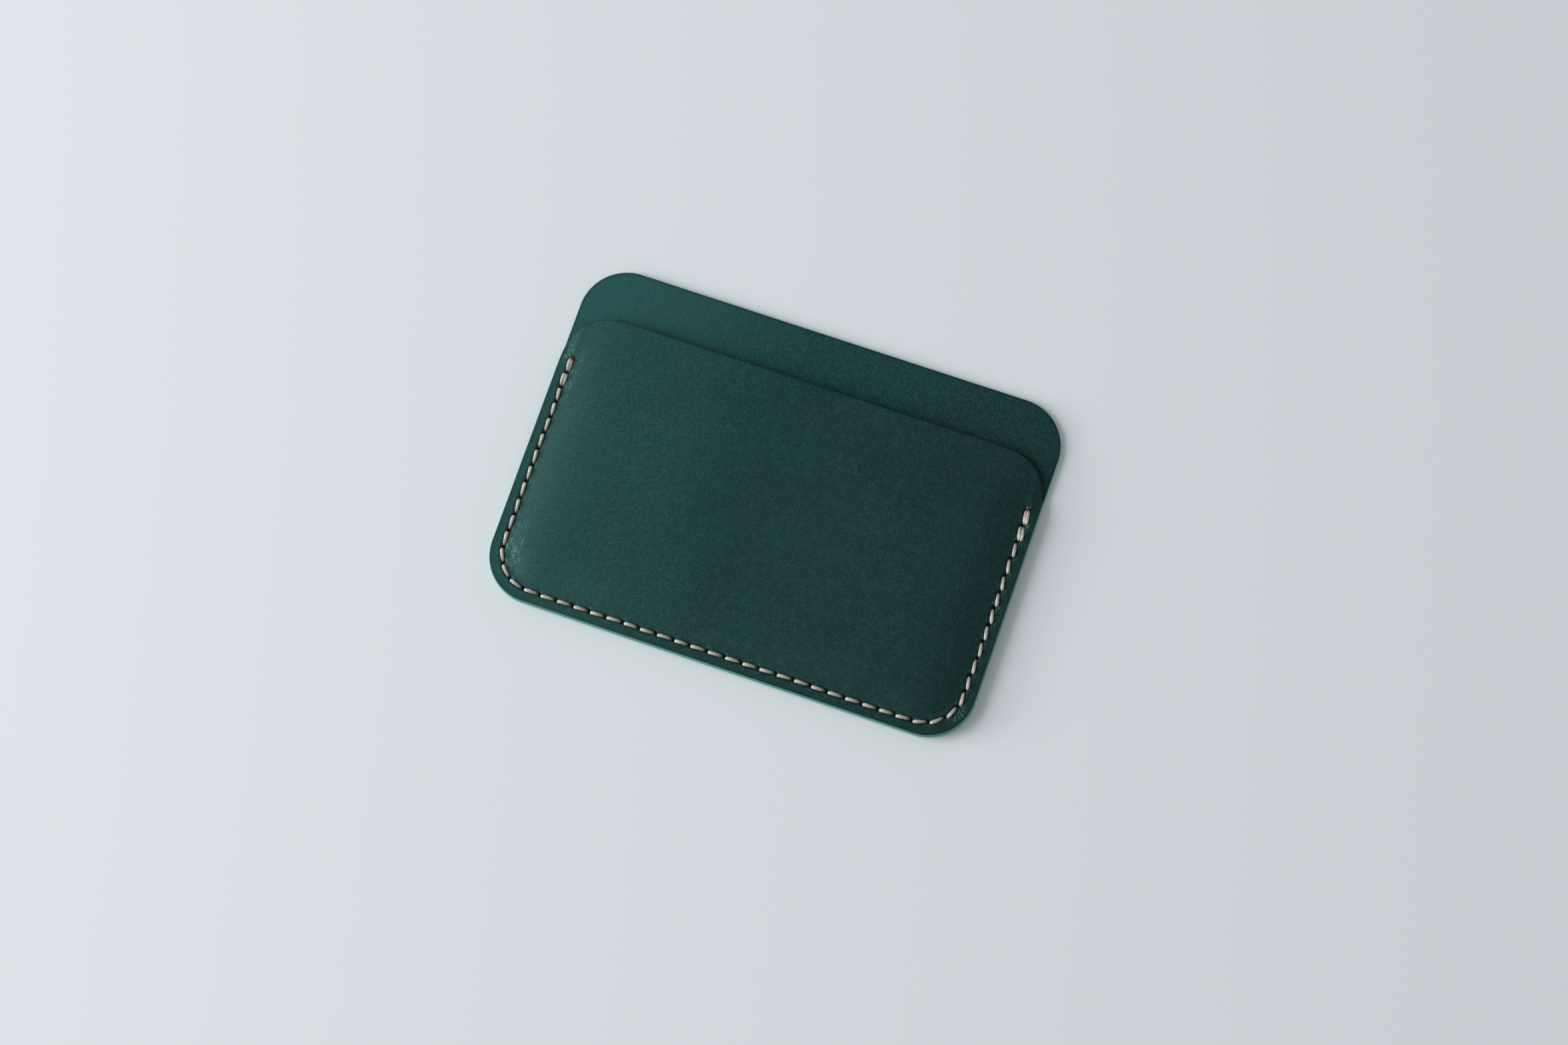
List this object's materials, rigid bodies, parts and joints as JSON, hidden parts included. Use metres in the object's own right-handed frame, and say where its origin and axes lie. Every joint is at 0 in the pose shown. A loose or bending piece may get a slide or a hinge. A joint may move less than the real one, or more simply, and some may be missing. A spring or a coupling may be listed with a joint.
{
  "type": "card holder",
  "caption": "Flat leather card holder: a moulded front panel saddle-stitched round a U-shaped seam to a taller back panel, with one pocket that opens along a long edge.",
  "frame": {"origin": "under the middle of the panels, on the plane that the back panel rests on", "axes": "+X along the mouth and the long side, +Y out of the mouth, +Z out of the front panel"},
  "size_m": [0.1, 0.07, 0.0043],
  "materials": {
    "front_leather": "teal green vegetable-tanned grain, satin, lightly waxed",
    "back_leather": "teal green, matt fibrous flesh side inside and satin grain outside",
    "cement": "dry contact cement film",
    "thread": "waxed twisted polyester, greige"
  },
  "bodies": {
    "root": {"back_panel": "back_leather", "front_panel": "front_leather", "seam_cement": "cement", "lead_thread": "thread", "following_thread": "thread"}
  },
  "joints": []
}
